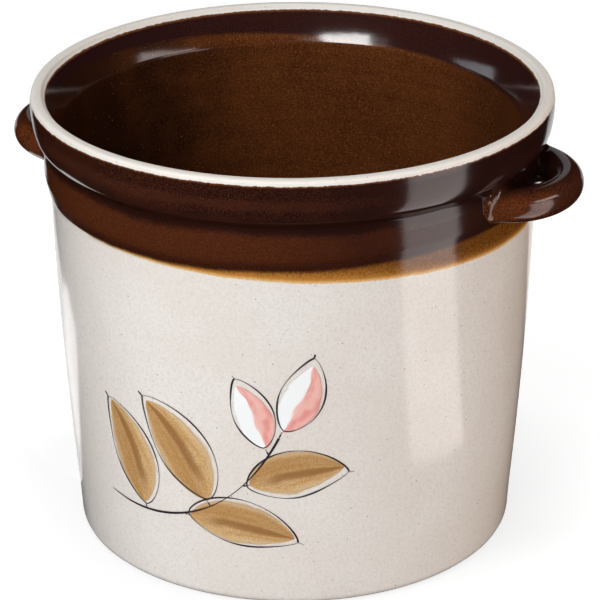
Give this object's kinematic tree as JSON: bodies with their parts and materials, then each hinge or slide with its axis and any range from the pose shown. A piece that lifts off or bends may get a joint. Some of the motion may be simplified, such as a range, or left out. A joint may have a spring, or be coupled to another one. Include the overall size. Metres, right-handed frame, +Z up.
{
  "type": "utensil crock",
  "caption": "Open round stoneware crock with a rolled collar, a raised band, loop lugs and a dark dipped rim, for kitchen utensils.",
  "frame": {"origin": "middle of the foot's resting plane", "axes": "+Z up along the crock's axis, +X towards one lug, -Y towards the decorated front"},
  "size_m": [0.2072, 0.1802, 0.161],
  "materials": {
    "brown_glaze": "glossy",
    "liner_glaze": "glossy",
    "honey_glaze": "glossy",
    "cream_glaze": "glossy, faintly speckled"
  },
  "bodies": {
    "root": {"crock_body": "cream_glaze", "lug_right": "brown_glaze", "lug_left": "brown_glaze", "liner_glaze": "liner_glaze", "collar_glaze": "brown_glaze", "honey_glaze_band": "honey_glaze"}
  },
  "joints": []
}
